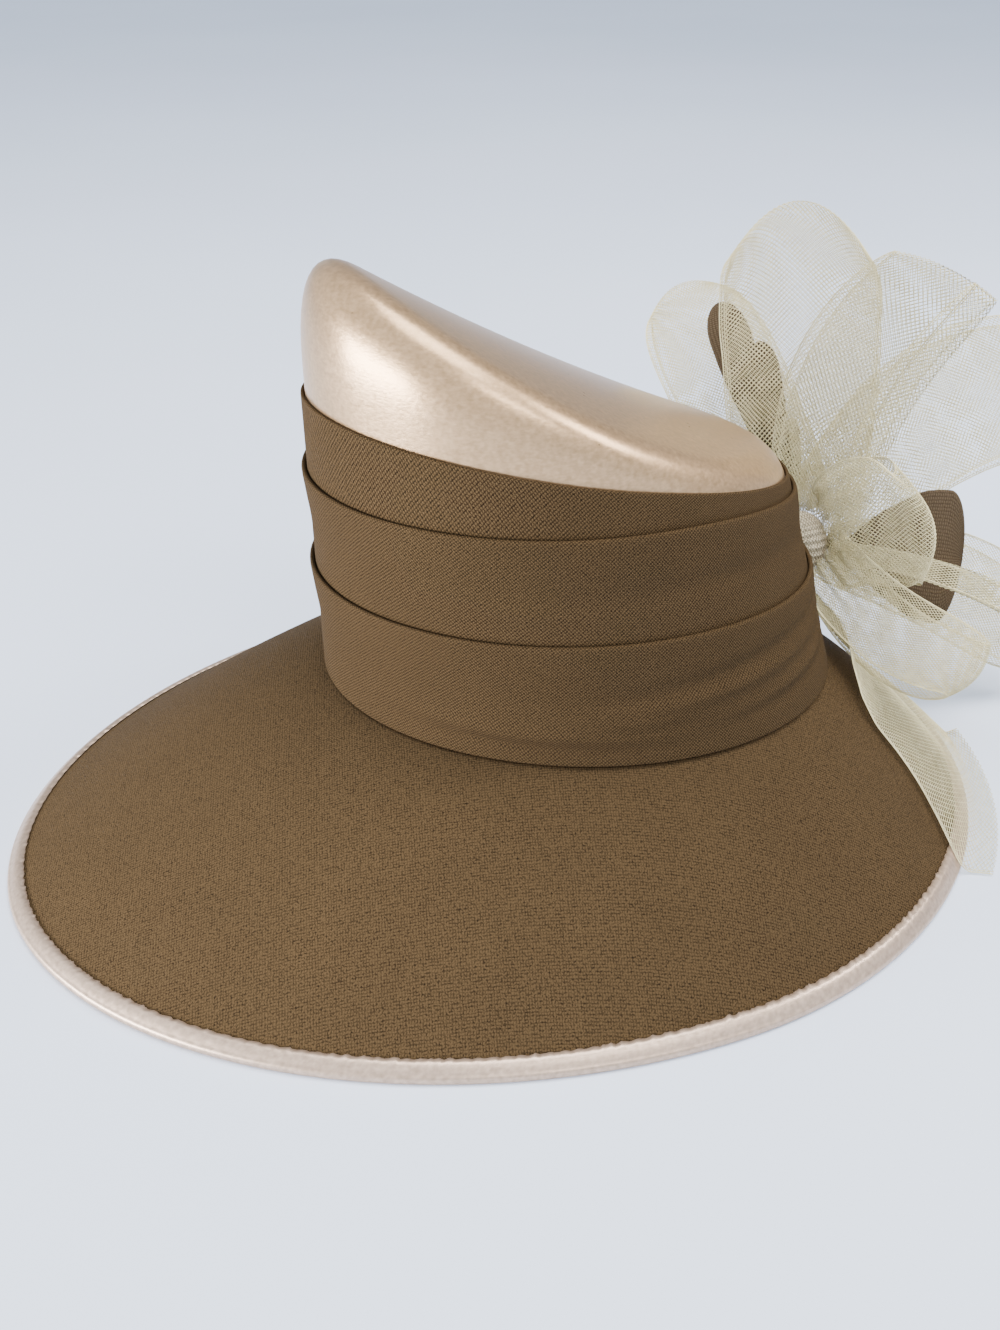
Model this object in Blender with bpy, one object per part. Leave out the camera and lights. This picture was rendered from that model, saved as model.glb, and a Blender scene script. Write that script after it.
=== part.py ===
"""Church hat: slanted satin crown, three folded cloth bands, wide oval brim and a bow of net ribbon.

Metres, +Z up. The front of the hat points to -X and the bow is at the back, towards +X. The hat
stands on its brim, and the origin is under the middle of its bounding box, on the floor.
"""

from math import copysign, cos, pi, radians, sin, sqrt, tau

import bmesh
import bpy
from mathutils import Matrix, Vector

# Clearance between pieces that touch
GAP = 0.0003

# Crown, measured on the outside of its satin where it meets the brim
CROWN_LENGTH = 0.2060
CROWN_WIDTH = 0.1830
CROWN_LIFT = 0.060
CROWN_WALL = 0.0020
SEAT_RISE = 0.006
LEAN = 0.170
TAPER = 0.140

# Slanted tip: height over the seat at the middle, its rise to the front, how it sags, domes and
# twists, the rounding of its edge all round and the further rounding at the nose
TIP_HEIGHT = 0.117
TIP_RISE = 0.050
TIP_SAG = 0.007
TIP_DOME = 0.015
TIP_TWIST = 0.006
TIP_EDGE = 0.011
TIP_NOSE_DOWN = 0.038
TIP_NOSE_IN = 0.012

# Cloth bands round the crown: wall, lap over the band above, the stretch that steps out to lap
# it (and where that starts at the lowest, as a share of the way up), and a fold's swell and depth
BAND_WALL = 0.0013
BAND_LAP = 0.008
BAND_SLOPE = 0.016
BAND_TURN = 0.6
FOLD_BEAD = 0.0005
FOLD_NOSE = 0.0010
FOLD_FALL = 0.0040

# Each band's top fold: height at the side as a share of TIP_HEIGHT, rise to the front and extra dip
# at the back as shares of TIP_RISE
BANDS = (
    # name, side height, front rise, back dip
    ("band_lower", 0.415, 0.080, 0.090),
    ("band_middle", 0.748, 0.065, 0.260),
    ("band_upper", 0.865, 0.370, 0.130),
)

# Brim: plan reach from the crown's middle, and the hollow where the head goes in
BRIM_FRONT = 0.2365
BRIM_BACK = 0.1665
BRIM_SIDE = 0.1720
BRIM_SHIFT = 0.018
BRIM_SQUARE = 1.95
BRIM_THICKNESS = 0.0016
BRIM_CURVE = 1.15

# Satin binding folded round the brim's edge
BINDING_WIDTH = 0.0050
BINDING_WALL = 0.0010
BINDING_FOOT = 0.90
BINDING_ARC = (45.0, 9.0)

# Bow of wide net ribbon, tied at a knot on the back of the crown
KNOT_BEARING = 0.0
KNOT_HEIGHT = 0.028
KNOT_RADIUS = 0.013
KNOT_DEPTH = 0.010
KNOT_PLEAT = 0.07
RIBBON_WALL = 0.0010
RIBBON_WIDTH = 0.068
BOW_REACH = 0.150
TAIL_CLEAR = 0.0010

# Loops: degrees round the hat and up, turn of the ribbon about its own run, then shares of
# BOW_REACH (reach, opening and how far the run bends sideways), shares of RIBBON_WIDTH (width at
# the middle, far end and root), how round the far end is and the power of the gather at the root
LOOPS = (
    # name, bearing, climb, roll, reach, opening, width, tip, root, bend, rounding, gather
    ("loop_far", 82, 28, -22, 0.98, 0.05, 0.84, 0.72, 0.08, 0.0, 0.10, 0.4),
    ("loop_tall", 63, 56, 2, 0.92, 0.06, 1.08, 0.85, 0.08, 0.0, 0.20, 0.75),
    ("loop_high", -11, 65, 56, 0.75, 0.05, 0.78, 0.86, 0.08, 0.08, 0.03, 0.4),
    ("loop_right", 4, 17, 60, 1.03, 0.05, 0.97, 0.95, 0.06, 0.12, 0.06, 0.95),
    ("loop_back", -14, -27, 72, 0.86, 0.05, 0.70, 0.60, 0.06, 0.06, 0.05, 0.75),
    ("loop_low", -79, -13, 52, 0.58, 0.08, 0.50, 0.75, 0.08, -0.05, 0.05, 0.8),
    ("loop_front", -65, 22, -90, 0.33, 0.08, 0.85, 0.80, 0.10, -0.03, 0.25, 0.75),
)

# Narrow folded strand of the same ribbon
TWIST = {"bearing": -48, "climb": -10, "roll": 64, "reach": 0.64, "sag": 0.04, "width": 0.12}

# Every loop: the powers of its run and of its narrowing at the end, how far its two layers stand
# apart, and how many degrees of its turn lie inside the knot
LOOP_RUN = 1.5
LOOP_END = 12
LOOP_BELLY = 1.3
LOOP_ROOT_TURN = 4.0

# Tail that lies over the brim: share of the way from crown to edge, its two bearings in degrees,
# and its height over the brim as a share of the knot's height
TAIL_BRIM = (
    # reach, near bearing, far bearing, lift
    (0.14, -26, 3, 0.50),
    (0.18, -32, 1, 0.28),
    (0.25, -37, -3, 0.10),
    (0.36, -40, -8, 0.0),
    (0.50, -41, -11, 0.0),
    (0.66, -43, -13, 0.0),
    (0.82, -46, -14, 0.0),
    (0.93, -48, -15, 0.0),
    (1.00, -49, -15, 0.0),
    (1.07, -48, -15, 0.0),
    (1.18, -47, -14, 0.0),
)

# Leaves behind the loops, in a loop's columns: reach and width are shares of BOW_REACH
LEAF_WALL = 0.0015
LEAF_BEND = 0.10
LEAVES = (
    # name, bearing, climb, roll, reach, width
    ("leaf_left", 82, 38, -29, 0.70, 0.125),
    ("leaf_middle", 76, 43, -22, 0.53, 0.090),
    ("leaf_small", 60, 21, -17, 0.40, 0.045),
    ("leaf_right", -28, -6, 66, 0.38, 0.380),
)
LEAF_OUTLINE = (
    # share of the length, share of the width
    (0.0, 0.06),
    (0.15, 0.10),
    (0.35, 0.55),
    (0.65, 0.95),
    (0.80, 1.0),
    (0.93, 0.75),
    (1.0, 0.30),
)

# Fineness of the faceted solids
ROUND_STEPS = 56
ROUND_SHARES = (0.0, 0.33, 0.67, 1.0)
BRIM_STEPS = 6
TIP_RINGS = (0.84, 0.55, 0.25)
LOOP_STEPS = 20
STRIP_ACROSS = 3
KNOT_STEPS = 24
KNOT_RINGS = 8

UP = Vector((0.0, 0.0, 1.0))


def clear_scene():
    """Remove whatever the new file holds."""
    for old in list(bpy.data.objects):
        bpy.data.objects.remove(old, do_unlink=True)


def finish_material(name, colour, roughness, sheen=0.0):
    """A plain Principled material for one sub-part."""
    material = bpy.data.materials.new(name)
    material.use_nodes = True
    shader = material.node_tree.nodes["Principled BSDF"]
    shader.inputs["Base Color"].default_value = (*colour, 1.0)
    shader.inputs["Roughness"].default_value = roughness
    shader.inputs["Metallic"].default_value = 0.0
    shader.inputs["Sheen Weight"].default_value = sheen
    return material


def solid(name, points, faces, material):
    """One closed object from points and faces, shaded smooth with its sharp folds kept."""
    mesh = bpy.data.meshes.new(name)
    mesh.from_pydata([tuple(p) for p in points], [], faces)
    shape = bmesh.new()
    shape.from_mesh(mesh)
    bmesh.ops.recalc_face_normals(shape, faces=shape.faces)
    shape.to_mesh(mesh)
    shape.free()
    mesh.materials.append(material)
    mesh.shade_smooth()
    mesh.set_sharp_from_angle(angle=radians(50))
    part = bpy.data.objects.new(name, mesh)
    bpy.context.collection.objects.link(part)
    return part


def ring_solid(name, sections, material):
    """A closed ring: each section is a closed outline, and the last one joins the first."""
    size = len(sections[0])
    points = [p for section in sections for p in section]
    faces = []
    for i in range(len(sections)):
        here = i * size
        after = (i + 1) % len(sections) * size
        for j in range(size):
            k = (j + 1) % size
            faces.append((here + j, here + k, after + k, after + j))
    return solid(name, points, faces, material)


def strip_solid(name, rows, thickness, material):
    """A strip of cloth: each row holds the points across it, and thickness is laid on both sides."""
    across = len(rows[0])
    points = []
    for i, row in enumerate(rows):
        before = rows[max(i - 1, 0)]
        after = rows[min(i + 1, len(rows) - 1)]
        upper = []
        lower = []
        for j, point in enumerate(row):
            along = after[j] - before[j]
            sideways = row[min(j + 1, across - 1)] - row[max(j - 1, 0)]
            normal = along.cross(sideways).normalized()
            upper.append(point + normal * thickness / 2)
            lower.append(point - normal * thickness / 2)
        points += upper + lower[::-1]
    size = across * 2
    faces = [tuple(range(size)), tuple(range(len(points) - size, len(points)))]
    for i in range(len(rows) - 1):
        for j in range(size):
            k = (j + 1) % size
            faces.append((i * size + j, i * size + k, (i + 1) * size + k, (i + 1) * size + j))
    return solid(name, points, faces, material)


def wall_point(angle, height, offset=0.0):
    """A point on the crown's wall. Angle 0 is the back, and height is over the seat's middle."""
    half_length = CROWN_LENGTH / 2 - TAPER * height + offset
    half_width = CROWN_WIDTH / 2 - TAPER * height + offset
    x = half_length * cos(angle) - LEAN * height
    return Vector((x, half_width * sin(angle), CROWN_LIFT + height))


def seat_height(angle):
    """Height of the brim's top where the crown stands on it, higher at the front."""
    return -SEAT_RISE * cos(angle)


def fold_height(row, angle):
    """Height of a band's top fold."""
    _, side, rise, dip = row
    back = max(cos(angle), 0.0)
    return side * TIP_HEIGHT - (rise * cos(angle) + dip * back * back) * TIP_RISE


def tip_height(x, y, inset=0.0):
    """Height of the slanted tip over a point of the plan; inset is how far inside the satin."""
    slope = TIP_RISE / (CROWN_LENGTH / 2)
    sag = TIP_SAG * (x / (CROWN_LENGTH / 2)) ** 2
    dome = TIP_DOME * (y / (CROWN_WIDTH / 2)) ** 2
    twist = TIP_TWIST * x * y / (CROWN_LENGTH * CROWN_WIDTH / 4)
    return TIP_HEIGHT - slope * x + sag - dome - twist - inset * sqrt(1 + slope * slope)


def tip_corner(angle, inset):
    """Where the wall would meet the tip if the edge between them were sharp."""
    height = TIP_HEIGHT
    for _ in range(12):
        point = wall_point(angle, height, -inset)
        height = tip_height(point.x, point.y, inset)
    return wall_point(angle, height, -inset)


def crown_rings(inset):
    """Rings of points from the seat up over the rounded edge to near the middle of the tip."""
    middle_x = -LEAN * TIP_HEIGHT
    rings = [[] for _ in range(2 + len(ROUND_SHARES) + len(TIP_RINGS))]
    for i in range(ROUND_STEPS):
        angle = tau * i / ROUND_STEPS
        corner = tip_corner(angle, inset)
        corner_height = corner.z - CROWN_LIFT
        nose = max(-cos(angle), 0.0) ** 2
        round_over = TIP_EDGE - inset + TIP_NOSE_IN * nose
        round_down = TIP_EDGE - inset + TIP_NOSE_DOWN * nose
        foot = seat_height(angle) + GAP
        low = wall_point(angle, corner_height - round_down, -inset)
        middle = Vector((middle_x, 0.0, 0.0))
        inward = (middle - corner).to_2d().normalized() * round_over
        high = Vector((corner.x + inward.x, corner.y + inward.y, 0.0))
        high.z = CROWN_LIFT + tip_height(high.x, high.y, inset)
        column = [wall_point(angle, foot, -inset)]
        column.append(wall_point(angle, (foot + corner_height - round_down) / 2, -inset))
        for share in ROUND_SHARES:
            a = low.lerp(corner, share)
            b = corner.lerp(high, share)
            column.append(a.lerp(b, share))
        for share in TIP_RINGS:
            x = middle_x + (high.x - middle_x) * share
            y = high.y * share
            column.append(Vector((x, y, CROWN_LIFT + tip_height(x, y, inset))))
        for ring, point in zip(rings, column):
            ring.append(point)
    return rings


def make_crown(material):
    """The satin crown: one wall all over, closed by the slanted tip and open below."""
    outer = crown_rings(0.0)
    inner = crown_rings(CROWN_WALL)
    middle_x = -LEAN * TIP_HEIGHT
    points = [p for ring in inner[::-1] + outer for p in ring]
    faces = []
    rows = len(inner) + len(outer)
    for i in range(rows - 1):
        for j in range(ROUND_STEPS):
            k = (j + 1) % ROUND_STEPS
            here = i * ROUND_STEPS
            after = here + ROUND_STEPS
            faces.append((here + j, here + k, after + k, after + j))
    for start, inset in ((0, CROWN_WALL), ((rows - 1) * ROUND_STEPS, 0.0)):
        centre = len(points)
        points.append(Vector((middle_x, 0.0, CROWN_LIFT + tip_height(middle_x, 0.0, inset))))
        for j in range(ROUND_STEPS):
            faces.append((start + j, start + (j + 1) % ROUND_STEPS, centre))
    return solid("crown_shell", points, faces, material)


def brim_frame(angle):
    """Seat point, edge point, outward direction and overhang of the brim at one bearing."""
    seat = wall_point(angle, seat_height(angle), -CROWN_WALL)
    reach = BRIM_BACK + BRIM_SHIFT if cos(angle) > 0 else BRIM_FRONT - BRIM_SHIFT
    binding = BRIM_THICKNESS / 2 + GAP + BINDING_WALL
    power = 2 / BRIM_SQUARE
    along = copysign(abs(cos(angle)) ** power, cos(angle)) * (reach - binding)
    across = copysign(abs(sin(angle)) ** power, sin(angle)) * (BRIM_SIDE - binding)
    edge = Vector((along - BRIM_SHIFT, across, BINDING_FOOT * binding))
    out = Vector((edge.x - seat.x, edge.y - seat.y, 0.0))
    overhang = out.length
    return seat, edge, out / overhang, overhang


def brim_point(angle, share, offset=0.0):
    """A point of the brim, share 0 at the crown and 1 at the edge, offset square to its cloth."""
    seat, edge, out, overhang = brim_frame(angle)
    top = seat.z - BRIM_THICKNESS / 2
    fall = top - edge.z
    reach = max(share, 0.0)
    slope = fall * BRIM_CURVE * reach ** (BRIM_CURVE - 1) / overhang
    normal = (out * slope + UP).normalized()
    point = seat + out * overhang * share
    point.z = top - fall * reach**BRIM_CURVE
    return point + normal * offset


def band_section(i, angle):
    """Outline of one band: its inner face up, the rounded fold, and its outer face down."""
    above = i + 1 < len(BANDS)
    top = fold_height(BANDS[i], angle)
    foot = fold_height(BANDS[i - 1], angle) - BAND_LAP if i else seat_height(angle)
    foot += GAP
    lap = GAP + BAND_WALL if above else 0.0
    bead = FOLD_BEAD if above else 0.0
    step = top - BAND_LAP - 2 * GAP
    turn = max(foot + (step - foot) * BAND_TURN, step - BAND_SLOPE)
    face = GAP + lap + BAND_WALL
    outline = (
        (foot, GAP),
        (turn, GAP),
        (step, GAP + lap),
        (top, GAP + lap),
        (top, face - BAND_WALL / 2),
        (top - FOLD_NOSE, face + bead),
        (top - FOLD_FALL, face + bead / 2),
        (turn, GAP + BAND_WALL),
        (foot, GAP + BAND_WALL),
    )
    return [wall_point(angle, height, offset) for height, offset in outline]


def make_bands(material):
    """Three folded bands; each one's top fold laps over the foot of the band above it."""
    angles = [tau * k / ROUND_STEPS for k in range(ROUND_STEPS)]
    for i, row in enumerate(BANDS):
        ring_solid(row[0], [band_section(i, angle) for angle in angles], material)


def make_brim(material):
    """The brim: a stiff cloth-covered sheet that falls away from the crown to the edge."""
    half = BRIM_THICKNESS / 2
    sections = []
    for i in range(ROUND_STEPS):
        angle = tau * i / ROUND_STEPS
        shares = [j / BRIM_STEPS for j in range(BRIM_STEPS + 1)]
        upper = [brim_point(angle, share, half) for share in shares]
        lower = [brim_point(angle, share, -half) for share in shares]
        sections.append(upper + lower[::-1])
    return ring_solid("brim", sections, material)


def binding_section(angle):
    """Outline of the binding: a C round the brim's edge, cut flat where the hat rests."""
    _, edge, out, overhang = brim_frame(angle)
    inside = BRIM_THICKNESS / 2 + GAP
    outside = inside + BINDING_WALL
    far = 1 - BINDING_WIDTH / overhang
    chord = outside * sqrt(1 - BINDING_FOOT * BINDING_FOOT)
    top = brim_point(angle, 1.0, outside)
    nose_in = edge + out * inside
    foot_out = Vector((edge.x, edge.y, 0.0)) + out * chord
    foot_in = Vector((edge.x, edge.y, 0.0)) - out * chord
    arc = [edge + (out * cos(radians(a)) + UP * sin(radians(a))) * outside for a in BINDING_ARC]
    return [
        brim_point(angle, far, outside),
        top,
        *arc,
        foot_out,
        foot_in,
        brim_point(angle, far, -outside),
        brim_point(angle, far, -inside),
        brim_point(angle, 1.0, -inside),
        nose_in,
        brim_point(angle, 1.0, inside),
        brim_point(angle, far, inside),
    ]


def make_binding(material):
    """Satin binding folded over the brim's edge all round."""
    angles = [tau * k / ROUND_STEPS for k in range(ROUND_STEPS)]
    return ring_solid("brim_binding", [binding_section(angle) for angle in angles], material)


def knot_middle():
    """Middle of the bow's knot, whose face just clears the sloping side of the lower band."""
    slope = LEAN + TAPER
    face = sqrt(KNOT_DEPTH**2 + (KNOT_RADIUS * slope) ** 2)
    offset = GAP + BAND_WALL + FOLD_BEAD + GAP * sqrt(1 + slope * slope) + face
    return wall_point(radians(KNOT_BEARING), KNOT_HEIGHT, offset)


def knot_face(run):
    """Where a ribbon or leaf that runs this way starts, just clear of the knot."""
    side = Matrix.Rotation(-radians(KNOT_BEARING), 3, "Z") @ run
    reach = 1 / sqrt((side.x / KNOT_DEPTH) ** 2 + (side.y**2 + side.z**2) / KNOT_RADIUS**2)
    return knot_middle() + run * (reach + 2 * GAP)


def make_knot(material):
    """The gathered tie: a flattened ball with a pleat at every third step."""
    middle = knot_middle()
    turn = Matrix.Rotation(radians(KNOT_BEARING), 3, "Z")
    points = []
    for i in range(1, KNOT_RINGS):
        climb = pi * i / KNOT_RINGS - pi / 2
        for j in range(KNOT_STEPS):
            around = tau * j / KNOT_STEPS
            pleat = 1.0 if j % 3 else 1.0 - KNOT_PLEAT
            radius = KNOT_RADIUS * cos(climb) * pleat
            depth = KNOT_DEPTH * sin(climb)
            points.append(middle + turn @ Vector((depth, radius * cos(around), radius * sin(around))))
    faces = [tuple(range(KNOT_STEPS)), tuple(range(len(points) - KNOT_STEPS, len(points)))]
    for i in range(KNOT_RINGS - 2):
        for j in range(KNOT_STEPS):
            k = (j + 1) % KNOT_STEPS
            here = i * KNOT_STEPS
            after = here + KNOT_STEPS
            faces.append((here + j, here + k, after + k, after + j))
    return solid("bow_knot", points, faces, material)


def run_axes(bearing, climb, roll):
    """Direction of a ribbon's run, across its width, and square to both."""
    level = Vector((cos(radians(bearing)), sin(radians(bearing)), 0.0))
    run = level * cos(radians(climb)) + UP * sin(radians(climb))
    across = Matrix.Rotation(radians(roll), 3, run) @ UP.cross(level)
    return run, across, run.cross(across)


def cloth_row(middle, across, half):
    """Points across a ribbon or leaf, from one edge to the other."""
    return [middle + across * half * (2 * j / STRIP_ACROSS - 1) for j in range(STRIP_ACROSS + 1)]


def make_loop(row, material):
    """A loop of ribbon: out from the knot, round its far end and back, gathered at the root."""
    name, bearing, climb, roll, reach, opening, width, tip, root, bend, rounding, gather = row
    run, across, square = run_axes(bearing, climb, roll)
    start = knot_face(run)
    first = sin(radians(LOOP_ROOT_TURN)) ** LOOP_RUN
    rows = []
    for i in range(LOOP_STEPS + 1):
        turn = radians(LOOP_ROOT_TURN + (180 - 2 * LOOP_ROOT_TURN) * i / LOOP_STEPS)
        rise = (sin(turn) ** LOOP_RUN - first) / (1 - first)
        side = opening * BOW_REACH * LOOP_BELLY * cos(turn) * sin(turn)
        spread = root + (1 - root) * sin(turn) ** gather
        narrow = 1 - (1 - tip) * sin(turn) ** LOOP_END
        half = spread * narrow * width * RIBBON_WIDTH / 2
        middle = start + square * side + across * (bend * BOW_REACH * 4 * rise * (1 - rise))
        points = []
        for j in range(STRIP_ACROSS + 1):
            edge = 2 * j / STRIP_ACROSS - 1
            out = reach * BOW_REACH * rise * (1 - rounding * (edge * rise) ** 2)
            points.append(middle + run * out + across * (half * edge))
        rows.append(points)
    return strip_solid(name, rows, RIBBON_WALL, material)


def make_twist(material):
    """The narrow folded strand of ribbon that runs out past the low loop."""
    run, across, _ = run_axes(TWIST["bearing"], TWIST["climb"], TWIST["roll"])
    start = knot_face(run)
    half = TWIST["width"] * RIBBON_WIDTH / 2
    rows = []
    steps = LOOP_STEPS // 2
    for i in range(steps + 1):
        share = i / steps
        sag = TWIST["sag"] * BOW_REACH * sin(pi * share)
        point = start + run * TWIST["reach"] * BOW_REACH * share + UP * sag
        rows.append(cloth_row(point, across, half))
    return strip_solid("tail_twist", rows, RIBBON_WALL * 2, material)


def make_tail(material):
    """The ribbon's end, laid on the brim and over its binding."""
    clear = BRIM_THICKNESS / 2 + GAP + BINDING_WALL + TAIL_CLEAR + RIBBON_WALL / 2
    rows = []
    for reach, near, far, lift in TAIL_BRIM:
        row = []
        for j in range(STRIP_ACROSS + 1):
            angle = radians(near + (far - near) * j / STRIP_ACROSS)
            point = brim_point(angle, reach, clear)
            point.z = max(point.z + lift * KNOT_HEIGHT, RIBBON_WALL)
            row.append(point)
        rows.append(row)
    return strip_solid("tail_brim", rows, RIBBON_WALL, material)


def make_leaf(row, material):
    """A pointed leaf on a narrow root, bent a little along its length."""
    name, bearing, climb, roll, reach, width = row
    run, across, square = run_axes(bearing, climb, roll)
    start = knot_face(run)
    length = reach * BOW_REACH
    rows = []
    for along, spread in LEAF_OUTLINE:
        bend = LEAF_BEND * length * along * along
        half = spread * width * BOW_REACH / 2
        rows.append(cloth_row(start + run * length * along + square * bend, across, half))
    return strip_solid(name, rows, LEAF_WALL, material)


def centre_on_floor():
    """Move every piece so that the origin is under the middle of the whole hat's box."""
    bpy.context.view_layer.update()
    corners = [part.matrix_world @ Vector(c) for part in bpy.data.objects for c in part.bound_box]
    low = Vector([min(c[i] for c in corners) for i in range(3)])
    high = Vector([max(c[i] for c in corners) for i in range(3)])
    shift = Vector(((low.x + high.x) / 2, (low.y + high.y) / 2, low.z))
    for part in bpy.data.objects:
        part.location -= shift


def main():
    """Build the whole hat."""
    clear_scene()
    satin = finish_material("satin", (0.62, 0.50, 0.38), 0.32, 0.2)
    crepe = finish_material("crepe", (0.17, 0.11, 0.06), 0.85, 0.3)
    net = finish_material("net", (0.66, 0.61, 0.48), 0.6)
    leaf = finish_material("leaf", (0.10, 0.07, 0.04), 0.8)
    make_crown(satin)
    make_bands(crepe)
    make_brim(crepe)
    make_binding(satin)
    make_knot(net)
    for row in LOOPS:
        make_loop(row, net)
    make_twist(net)
    make_tail(net)
    for row in LEAVES:
        make_leaf(row, leaf)
    centre_on_floor()


main()
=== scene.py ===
"""Looks of the church hat: satin crown, crepe bands and brim, satin binding and a bow of net ribbon.

Metres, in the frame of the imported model. The front of the hat points to -X, the bow is at the
back, and an angle round the hat is 0 at the bow. Lengths are the hat's own, worked out as its
solids are, and each surface is built again here with finer steps.
"""

from math import cos, pi, radians, sin, sqrt, tau

import bpy
import numpy as np
from mathutils import Matrix, Vector


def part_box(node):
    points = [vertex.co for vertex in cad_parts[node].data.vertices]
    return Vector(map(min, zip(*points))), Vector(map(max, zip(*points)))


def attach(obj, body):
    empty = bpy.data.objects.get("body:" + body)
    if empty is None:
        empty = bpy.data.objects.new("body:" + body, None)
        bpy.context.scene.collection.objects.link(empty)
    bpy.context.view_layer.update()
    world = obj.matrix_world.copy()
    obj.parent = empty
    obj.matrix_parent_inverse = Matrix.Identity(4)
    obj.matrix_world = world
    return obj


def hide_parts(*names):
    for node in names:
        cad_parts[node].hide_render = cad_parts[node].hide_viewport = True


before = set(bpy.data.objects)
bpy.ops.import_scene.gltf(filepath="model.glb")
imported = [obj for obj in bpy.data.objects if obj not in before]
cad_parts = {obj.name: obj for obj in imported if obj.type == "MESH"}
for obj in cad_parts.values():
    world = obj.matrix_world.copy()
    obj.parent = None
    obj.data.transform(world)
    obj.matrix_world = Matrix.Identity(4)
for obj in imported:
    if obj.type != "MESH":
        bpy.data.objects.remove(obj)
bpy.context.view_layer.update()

# Sizes that the solids have too
GAP = 0.0003
CROWN_LENGTH = 0.2060
CROWN_WIDTH = 0.1830
CROWN_LIFT = 0.060
CROWN_WALL = 0.0020
SEAT_RISE = 0.006
LEAN = 0.170
TAPER = 0.140
TIP_HEIGHT = 0.117
TIP_RISE = 0.050
TIP_SAG = 0.007
TIP_DOME = 0.015
TIP_TWIST = 0.006
TIP_EDGE = 0.011
TIP_NOSE_DOWN = 0.038
TIP_NOSE_IN = 0.012
BAND_WALL = 0.0013
BAND_LAP = 0.008
BAND_SLOPE = 0.016
BAND_TURN = 0.6
FOLD_BEAD = 0.0005
FOLD_FALL = 0.0040
BANDS = (
    # name, side height, front rise, back dip
    ("band_lower", 0.415, 0.080, 0.090),
    ("band_middle", 0.748, 0.065, 0.260),
    ("band_upper", 0.865, 0.370, 0.130),
)
BRIM_FRONT = 0.2365
BRIM_BACK = 0.1665
BRIM_SIDE = 0.1720
BRIM_SHIFT = 0.018
BRIM_SQUARE = 1.95
BRIM_THICKNESS = 0.0016
BRIM_CURVE = 1.15
BINDING_WIDTH = 0.0050
BINDING_WALL = 0.0010
BINDING_FOOT = 0.90
KNOT_BEARING = 0.0
KNOT_HEIGHT = 0.028
KNOT_RADIUS = 0.013
KNOT_DEPTH = 0.010
RIBBON_WALL = 0.0010
RIBBON_WIDTH = 0.068
BOW_REACH = 0.150
TAIL_CLEAR = 0.0010
LOOPS = (
    # name, bearing, climb, roll, reach, opening, width, tip, net's root, bend, rounding, gather
    ("loop_far", 82, 28, -22, 0.98, 0.05, 0.84, 0.72, 0.24, 0.0, 0.10, 0.30),
    ("loop_tall", 63, 56, 2, 0.92, 0.06, 1.08, 0.85, 0.34, 0.0, 0.20, 0.32),
    ("loop_high", -11, 65, 56, 0.75, 0.05, 0.78, 0.86, 0.42, 0.08, 0.03, 0.28),
    ("loop_right", 4, 17, 60, 1.03, 0.05, 0.97, 0.95, 0.42, 0.12, 0.06, 0.30),
    ("loop_back", -14, -27, 72, 0.86, 0.05, 0.70, 0.60, 0.12, 0.06, 0.05, 0.40),
    ("loop_low", -79, -13, 52, 0.58, 0.08, 0.50, 0.75, 0.45, -0.05, 0.05, 0.25),
    ("loop_front", -65, 22, -90, 0.33, 0.08, 0.85, 0.80, 0.50, -0.03, 0.25, 0.30),
)
LOOP_RUN = 1.5
LOOP_END = 12
LOOP_BELLY = 1.3
LOOP_ROOT_TURN = 4.0
TWIST = {"bearing": -48, "climb": -10, "roll": 64, "reach": 0.64, "sag": 0.04, "width": 0.12}
TAIL_BRIM = (
    # reach, near bearing, far bearing, lift
    (0.14, -26, 3, 0.50),
    (0.18, -32, 1, 0.28),
    (0.25, -37, -3, 0.10),
    (0.36, -40, -8, 0.0),
    (0.50, -41, -11, 0.0),
    (0.66, -43, -13, 0.0),
    (0.82, -46, -14, 0.0),
    (0.93, -48, -15, 0.0),
    (1.00, -49, -15, 0.0),
    (1.07, -48, -15, 0.0),
    (1.18, -47, -14, 0.0),
)
LEAF_WALL = 0.0015
LEAF_BEND = 0.10
LEAVES = (
    # name, bearing, climb, roll, reach, width
    ("leaf_left", 82, 38, -29, 0.70, 0.125),
    ("leaf_middle", 76, 43, -22, 0.53, 0.090),
    ("leaf_small", 60, 21, -17, 0.40, 0.045),
    ("leaf_right", -28, -6, 66, 0.38, 0.380),
)
LEAF_OUTLINE = (
    # share of the length, share of the width, up to where the tip rounds
    (0.0, 0.06),
    (0.15, 0.10),
    (0.35, 0.55),
    (0.65, 0.95),
    (0.80, 1.0),
)

# Fineness of the surfaces
ROUND = 288
WALL_ROWS = 14
EDGE_ROWS = 14
TIP_ROWS = 18
TIP_HOLE = 0.01
FOLD_ROWS = 9
FACE_ROWS = 34
BRIM_ROWS = 44
BINDING_ROUND = 1440
KNOT_ROUND = 240
KNOT_ROWS = 40
LEAF_ROWS = 60
LEAF_RIM = 32

# Starts of the random draws
BINDING_SEED = 4
BOW_SEED = 11

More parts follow.
